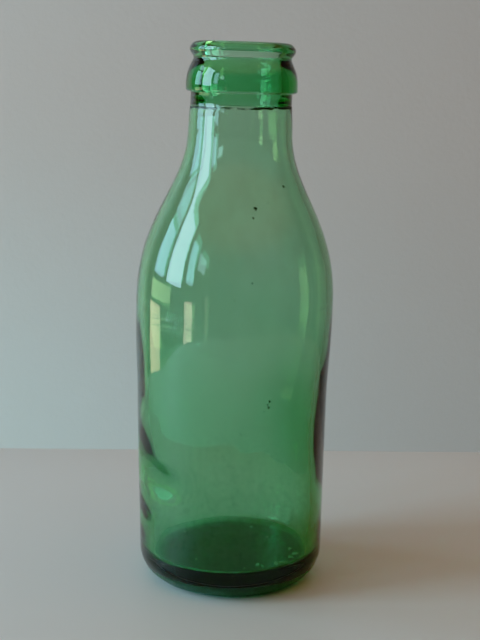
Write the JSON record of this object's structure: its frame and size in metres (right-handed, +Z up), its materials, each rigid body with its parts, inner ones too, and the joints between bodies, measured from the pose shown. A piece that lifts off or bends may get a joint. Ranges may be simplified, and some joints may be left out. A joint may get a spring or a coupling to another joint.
{
  "type": "glass bottle",
  "caption": "Green glass milk bottle: straight round body, sloping shoulder, collared neck with a groove and rolled lip, thick floor with a shallow hollow beneath; the mouth is open.",
  "frame": {"origin": "centre of the bearing ring, on the surface that the bottle stands on", "axes": "+Z up from the foot to the mouth; the upper part leans 1.3 degrees towards +X; -Y is the side that the picture shows"},
  "size_m": [0.0747, 0.0746, 0.2043],
  "materials": {
    "green_glass": "polished transparent green bottle glass with a slightly uneven inner wall, fine seeds and faint mould seams"
  },
  "bodies": {
    "root": {"glass_body": "green_glass"}
  },
  "joints": []
}
